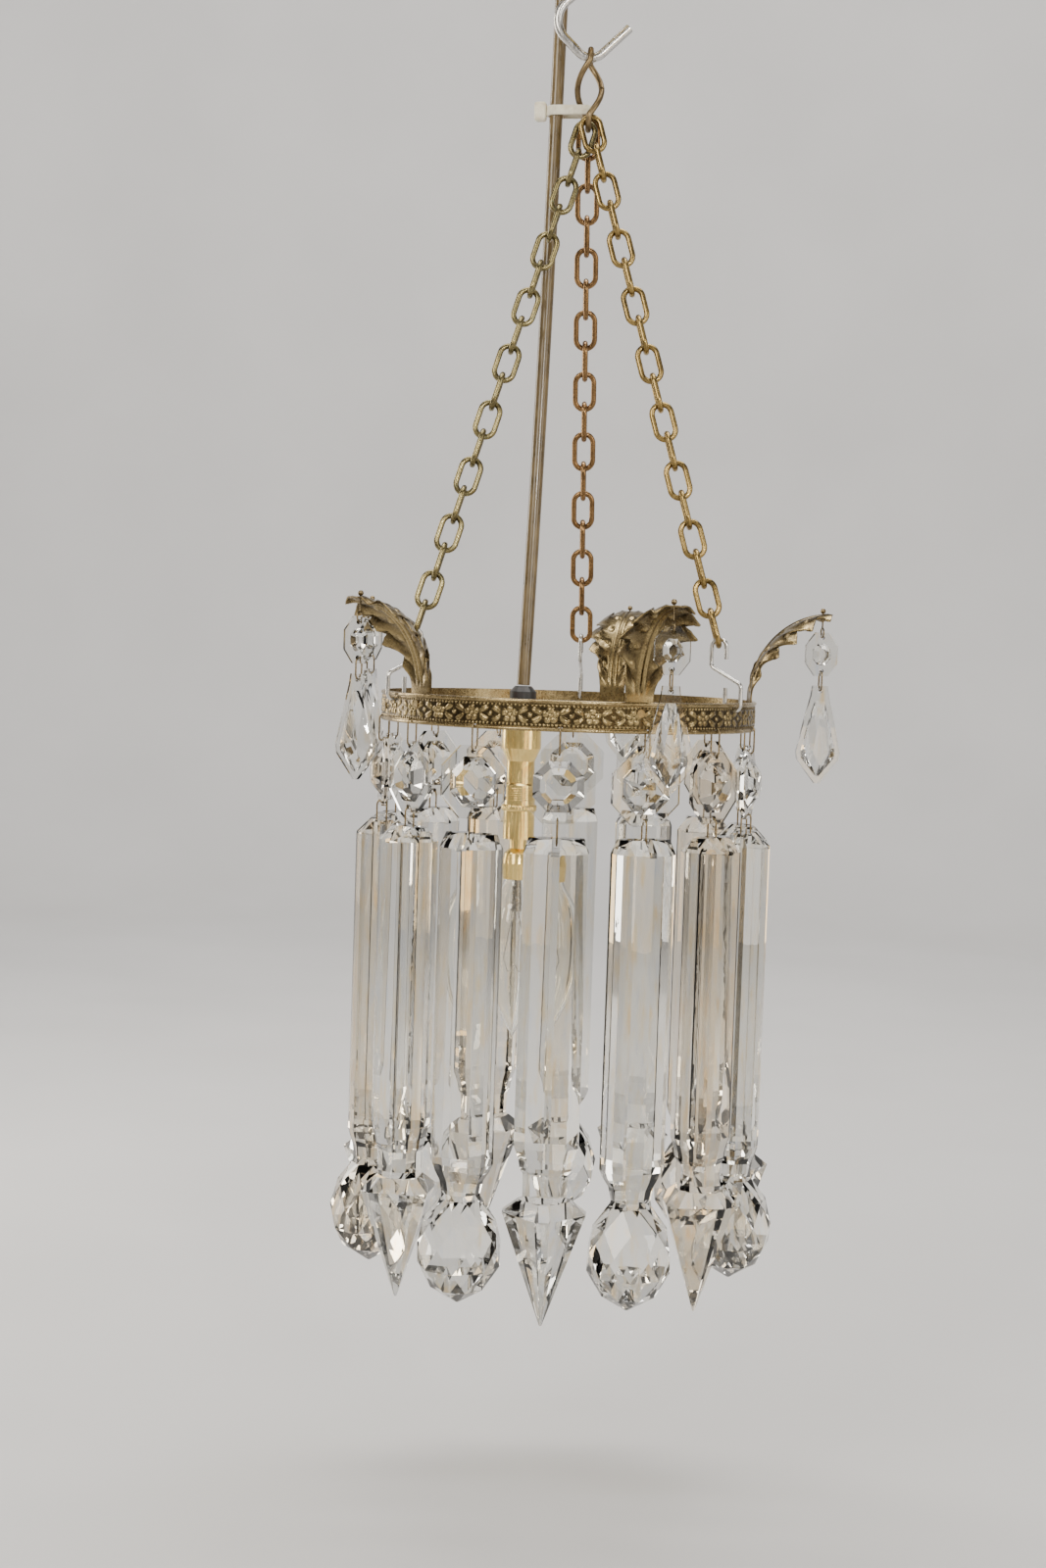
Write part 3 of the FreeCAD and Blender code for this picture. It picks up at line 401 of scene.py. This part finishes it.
def leaf_relief(share, side, width):
    """Height in mm of the pressed ribs and bosses, and how much patina and painted shade the
    surface has, more where it is lower.
    """
    off = abs(side) * width / 2
    fan = LOBES * (share - FAN_SWEEP * abs(side)) + FAN_START
    fold = math.cos(2 * math.pi * fan)
    spread_out = ease(0.12, 0.75, abs(side))
    ribs = 0.95 * fold * spread_out + 0.28 * math.cos(6 * math.pi * fan) * spread_out
    midrib = 1.2 * dome(abs(off - 1.5), 1.25) - 0.5 * dome(off, 0.8)
    boss = 0.0
    for k in range(BOSSES):
        gap = math.hypot((share - BOSS_START - BOSS_STEP * k) * LEAF_ARC, off - (6.6 - 0.7 * k))
        boss = max(boss, dome(gap, 2.5 - 0.2 * k))
    fade = ease(0.0, 0.12, share) * ease(1.0, 0.93, share)
    height = (ribs * (1 - boss) + 1.5 * boss + midrib) * fade
    # Lower parts of the leaf get patina and painted shade.
    return height, min(max(0.55 - 0.5 * height, 0.0), 0.9)


def leaf_point(share, side):
    """A point of the leaf in its own frame: -Y is outward, X along the ring, Z up."""
    foot_radius = RING_RADIUS / MM - FOOT_INSET
    width = leaf_width(share)
    if share < 0:
        x = side * width / 2
        bow = -x * x / (2 * foot_radius)
        # The foot gets an even share of patina and painted shade.
        return Vector((x, -foot_radius - bow, FOOT_TOP + share * FOOT_LENGTH)), 0.4
    height, patina_and_shade = leaf_relief(share, side, width)
    fan = LOBES * (share - FAN_SWEEP * abs(side)) + FAN_START
    lobe = 0.5 + 0.5 * math.cos(2 * math.pi * fan)
    teeth = 0.5 + 0.5 * math.cos(6 * math.pi * fan)
    reach = ease(0.45, 1.0, abs(side))
    open_part = ease(0.02, 0.14, share) * ease(1.02, 0.9, share)
    cut = (0.36 * (1 - lobe) ** 1.5 + 0.07 * (1 - teeth)) * reach * open_part
    swept = min(share + 0.055 * abs(side) ** 2 * open_part, 1.0)
    turn = swept * math.pi / 2
    centre = Vector((0, -foot_radius - LEAF_REACH * (1 - math.cos(turn)),
                     FOOT_TOP + LEAF_RISE * math.sin(turn)))
    ahead = Vector((0, -LEAF_REACH * math.sin(turn), LEAF_RISE * math.cos(turn))).normalized()
    outward = Vector((1, 0, 0)).cross(ahead)
    x = side * width / 2 * (1 - cut)
    cup = (0.13 * width * math.sin(math.pi * share) - 0.28 + 0.5 * share) * side * side
    curl = (2.6 * lobe - 1.2) * ease(0.62, 1.0, abs(side)) ** 2 * open_part
    return centre + Vector((x, 0, 0)) + outward * (cup + height * 0.8 + curl), patina_and_shade


def make_leaf(index, azimuth, material):
    """One leaf of pressed brass sheet, with its lobes, ribs and bosses."""
    rows, columns, thickness = 112, 65, 0.9
    turn = Matrix.Rotation(math.radians(azimuth), 4, "Z")

    def point(i, j):
        share, side = 2.0 * i / (rows - 1) - 1, 2.0 * j / (columns - 1) - 1
        place, patina_and_shade = leaf_point(share, side)
        place = turn @ (place * MM) + Vector((0, 0, RING_TOP))
        return place, patina_and_shade

    leaf = grid_object(f"acanthus_leaf_{index}", rows, columns, point)
    skin = leaf.modifiers.new("sheet_thickness", "SOLIDIFY")
    skin.thickness, skin.offset = thickness * MM, 0.0
    return dress(leaf, material, replaces=("acanthus_leaves",))


def make_leaves():
    """The five leaves, which share one material."""
    # The third colour is the tarnished spots' colour, and the near-black patina and painted shade
    # in the hollows.
    material = brass("leaf_brass", (0.34, 0.26, 0.125), (0.15, 0.105, 0.05), (0.032, 0.022, 0.011),
                     wear=0.44, gloss=(0.2, 0.4), relief=True)
    for index, azimuth in enumerate(LEAF_AZIMUTHS, 1):
        make_leaf(index, azimuth, material)


# ---- lampholder details ------------------------------------------------------------------------

def holder_axis():
    """The lampholder's axis, as a point in plan."""
    return Vector(ring_place(HOLDER_AZIMUTH, HOLDER_OFFSET, 0.0))


def make_thread(material):
    """The sleeve's screw thread for the shade ring, as a helix of rounded ridges."""
    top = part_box("lampholder_body")[1].z
    low, high = top - 14 * MM, top - 6.2 * MM
    axis, radius, pitch, ridge = holder_axis(), 8.55 * MM, 1.25 * MM, 0.45 * MM
    turns = (high - low) / pitch
    steps, ring = int(turns * 40), 8

    def point(i, j):
        share = i / (steps - 1)
        angle = 2 * math.pi * turns * share
        size = ridge * min(1, 12 * share + 0.1, 12 * (1 - share) + 0.1)
        lean = 2 * math.pi * j / ring
        reach = radius + size * math.cos(lean)
        return (axis.x + reach * math.cos(angle), axis.y + reach * math.sin(angle),
                low + (high - low) * share + 0.7 * size * math.sin(lean)), 0.2

    thread = grid_object("sleeve_thread", steps, ring, point, False, True, caps=True)
    dress(thread, material)


def make_shade_ring(material):
    """The knurled ring that a shade would be held by."""
    lo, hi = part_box("shade_ring")
    axis, inner, outer, count = holder_axis(), 8.62 * MM, (hi.x - lo.x) / 2, 36
    profile = [(inner, 0.0), (outer - 0.5 * MM, 0.0), (outer, 0.12), (outer, 0.35), (outer, 0.65),
               (outer, 0.88), (outer - 0.5 * MM, 1.0), (inner, 1.0)]
    columns = count * 8

    def point(i, j):
        radius, share = profile[i]
        if radius == outer:
            radius -= 0.28 * MM * (0.5 + 0.5 * math.cos(2 * math.pi * j * count / columns))
        angle = 2 * math.pi * j / columns
        return (axis.x + radius * math.cos(angle), axis.y + radius * math.sin(angle),
                lo.z + share * (hi.z - lo.z)), 0.2

    ring = grid_object("knurled_shade_ring", len(profile), columns, point, True, True)
    dress(ring, material, replaces=("shade_ring",))


def make_tie(material):
    """The nylon tie round the flex and a strand of the link: a ribbed strap and its head."""
    ends = [Vector((-17.4, 8.3, 0)), Vector((-2.2, 6.1, 0))]
    along = (ends[1] - ends[0]).normalized()
    across = Vector((-along.y, along.x, 0))
    gap, radius, wall, tall = (ends[1] - ends[0]).length, 4.4, 1.0, 5.2
    length = 2 * gap + 2 * math.pi * radius
    middle = -88.0
    profile = [(0.0, -0.5), (0.75, -0.5), (1.0, -0.4), (1.0, 0.4), (0.75, 0.5), (0.0, 0.5)]
    columns = 420

    def centre_line(distance):
        """A point and outward direction on the strap's inner line, at a distance along it."""
        if distance < gap:
            return ends[0] + along * distance - across * radius, -across
        distance -= gap
        if distance < math.pi * radius:
            turn = -math.pi / 2 + distance / radius
            out = along * math.cos(turn) + across * math.sin(turn)
            return ends[1] + out * radius, out
        distance -= math.pi * radius
        if distance < gap:
            return ends[1] - along * distance + across * radius, across
        turn = math.pi / 2 + (distance - gap) / radius
        out = along * math.cos(turn) + across * math.sin(turn)
        return ends[0] + out * radius, out

    def point(i, j):
        share, height = profile[i]
        place, out = centre_line(length * j / columns)
        ridge = 0.16 * math.cos(2 * math.pi * j / 4.0) if share == 1.0 else 0.0
        place = place + out * (share * wall + ridge)
        return (place.x * MM, place.y * MM, (middle + height * tall) * MM), 0.2

    strap = grid_object("tie_strap", len(profile), columns, point, True, True)
    dress(strap, material, replaces=("cable_tie",))
    head_at = ends[0] - along * (radius + wall + 3.3)
    half = Vector((3.3, 3.2, 5.0))
    rounds = [(-1.0, 0.72), (-0.86, 0.94), (-0.7, 1.0), (0.7, 1.0), (0.86, 0.94), (1.0, 0.72)]
    columns = 48

    def head_point(i, j):
        if i == 0 or i == len(rounds) + 1:
            z, scale = rounds[0 if i == 0 else -1][0], 0.02
        else:
            z, scale = rounds[i - 1]
        angle = 2 * math.pi * j / columns
        c, s = math.cos(angle), math.sin(angle)
        square = (abs(c) ** 5 + abs(s) ** 5) ** -0.2
        place = head_at + along * (half.x * scale * c * square)
        place += across * (half.y * scale * s * square)
        return (place.x * MM, place.y * MM, (middle + z * half.z) * MM), 0.2

    head = grid_object("tie_head", len(rounds) + 2, columns, head_point, False, True, caps=True)
    dress(head, material)


# ---- CAD nodes ---------------------------------------------------------------------------------

STRING_COUNT = 14


def finish_node(name, *materials):
    """New materials for a CAD node that keeps its shape."""
    mesh = NODES[name].data
    mesh.materials.clear()
    for material in materials:
        mesh.materials.append(material)
    for face in mesh.polygons:
        face.material_index = 0
    return mesh


def wire_faces(name, joint, glass, wire):
    """Glass on a stone and wire on its lower pin, which lies in the plane of the stone's hooks."""
    mesh = finish_node(name, glass, wire)
    place, along = Vector(JOINTS[joint]["pos_m"]), Vector(JOINTS[joint]["axis"])
    reach = 0.5 * MM
    near = [abs((v.co - place).dot(along)) < reach for v in mesh.vertices]
    for face in mesh.polygons:
        if all(near[v] for v in face.vertices) and face.center.z < place.z - 2 * MM:
            face.material_index = 1


def finish_nodes():
    """Every CAD node that stays gets its material. Gives back the two that new pieces share."""
    old = brass("band_brass", (0.34, 0.26, 0.13), (0.17, 0.12, 0.055), (0.05, 0.035, 0.016))
    bright = brass("lacquered_brass", (0.95, 0.72, 0.28), (0.80, 0.55, 0.18), (0.45, 0.29, 0.10),
                   wear=0.36, gloss=(0.14, 0.26))
    gold_chain = brass("chain_gold", (0.34, 0.24, 0.09), (0.16, 0.11, 0.042), (0.055, 0.036, 0.017))
    copper_chain = brass("chain_copper", (0.26, 0.155, 0.07), (0.13, 0.075, 0.034),
                         (0.05, 0.03, 0.018))
    green_chain = brass("chain_green", (0.23, 0.19, 0.09), (0.11, 0.09, 0.045), (0.10, 0.16, 0.12))
    bronze = brass("link_bronze", (0.22, 0.16, 0.085), (0.10, 0.07, 0.035), (0.04, 0.03, 0.018),
                   gloss=(0.28, 0.5))
    wire = brass("pin_wire", (0.26, 0.20, 0.11), (0.12, 0.09, 0.05), (0.05, 0.04, 0.025))
    hook = steel("hook_wire")
    black = plastic("gland_black", (0.022, 0.021, 0.02), (0.01, 0.01, 0.01))
    nylon = plastic("tie_nylon", (0.80, 0.76, 0.62), (0.60, 0.54, 0.40))
    # Each glass's last colour is its painted dispersion amber.
    clear = crystal("crystal_clear", (0.87, 0.865, 0.83), (0.92, 0.74, 0.46))
    warm = crystal("crystal_warm", (0.88, 0.81, 0.69), (0.90, 0.64, 0.34))
    tungsten = brass("filament_wire", (0.42, 0.40, 0.38), (0.25, 0.23, 0.21), (0.12, 0.11, 0.10))
    chosen = {
        "ceiling_plate": bright, "ceiling_hook": hook, "top_link": bronze, "end_hooks": hook,
        "chain_right": gold_chain, "chain_back": copper_chain, "chain_left": green_chain,
        "ring_band": old, "crossbar": old, "rivets": old, "hanging_pins": wire,
        "cable_gland": black, "contact_block": black, "lampholder_cap": bright,
        "lampholder_body": bright, "bulb_cap": bright, "bulb_filament": tungsten,
        "bulb_glass": lamp_glass("bulb_glass"),
    }
    for name, material in chosen.items():
        finish_node(name, material)
    for k in range(1, STRING_COUNT + 1):
        glass = warm if k % 3 == 0 else clear
        wire_faces(f"octagon_{k}", f"octagon_{k}_swing", glass, wire)
        finish_node(f"prism_{k}", glass)
    for k in range(1, len(LEAF_AZIMUTHS) + 1):
        wire_faces(f"button_{k}", f"button_{k}_swing", clear, wire)
        finish_node(f"drop_{k}", clear)
    return bright, nylon


# ---- stage and light ---------------------------------------------------------------------------

def make_stage():
    """A pale floor that sweeps up into a plain wall all round."""
    floor, reach, bend, top = -0.86, 3.4, 0.9, 2.4
    steps, sides = 12, 96
    profile = [(0.0002, floor)]
    for k in range(steps + 1):
        turn = math.pi / 2 * k / steps
        profile.append((reach - bend + bend * math.sin(turn), floor + bend - bend * math.cos(turn)))
    profile.append((reach, top))

    def point(i, j):
        radius, z = profile[i]
        return ring_place(360.0 * j / sides, radius, z), 0.0

    sweep = grid_object("backdrop", len(profile), sides, point, False, True)
    material, tree, shader = new_material("backdrop_paper")
    grain = noise(tree, 3, 3, 0.5)
    tree.links.new(ramp(tree, grain, [(0.3, (0.56, 0.555, 0.55)), (0.7, (0.60, 0.595, 0.59))]),
                   shader.inputs["Base Color"])
    shader.inputs["Roughness"].default_value = 0.9
    sweep.data.materials.append(material)


def make_light(name, place, aim, size, power, colour):
    """A soft rectangular light, in metres and watts, that the camera doesn't see."""
    data = bpy.data.lights.new(name, "AREA")
    data.shape, data.size, data.size_y = "RECTANGLE", size[0], size[1]
    data.energy, data.color = power, colour
    light = bpy.data.objects.new(name, data)
    bpy.context.collection.objects.link(light)
    light.location = place
    light.visible_camera = False
    light.rotation_euler = (Vector(aim) - Vector(place)).to_track_quat("-Z", "Y").to_euler()


def make_lights():
    """Soft studio light, a warm accent for the glass, and two washes for the wall."""
    aim = (0, 0, -0.45)
    make_light("key", (-1.1, -1.5, 0.5), aim, (0.8, 1.0), 25, (1.0, 0.94, 0.84))
    make_light("fill", (1.5, -1.0, -0.1), aim, (0.5, 1.4), 11, (1.0, 0.97, 0.92))
    make_light("top", (0.1, -0.1, 1.0), aim, (1.0, 1.0), 10, (1.0, 0.96, 0.90))
    make_light("rim", (-1.2, 0.7, -0.1), aim, (0.25, 1.2), 12, (1.0, 0.93, 0.82))
    make_light("spark", (0.45, -1.9, 0.1), aim, (0.12, 0.12), 12, (1.0, 0.97, 0.92))
    make_light("amber", (1.3, -2.0, -0.9), aim, (1.2, 0.8), 9, (1.0, 0.72, 0.38))
    make_light("wash", (0.0, 0.6, 1.9), (0, 3.2, -0.4), (2.6, 0.8), 110, (1.0, 0.98, 0.96))
    make_light("back_wash", (0.0, -0.9, 2.2), (0, -3.2, -0.4), (2.6, 0.8), 24, (1.0, 0.98, 0.96))
    world = bpy.data.worlds.new("studio")
    world.use_nodes = True
    shade = world.node_tree.nodes["Background"]
    shade.inputs["Color"].default_value = (0.24, 0.225, 0.21, 1.0)
    shade.inputs["Strength"].default_value = 0.4
    bpy.context.scene.world = world


make_camera()
make_flex()
bright, nylon = finish_nodes()
make_frieze()
make_leaves()
make_thread(bright)
make_shade_ring(bright)
make_tie(nylon)
make_stage()
make_lights()
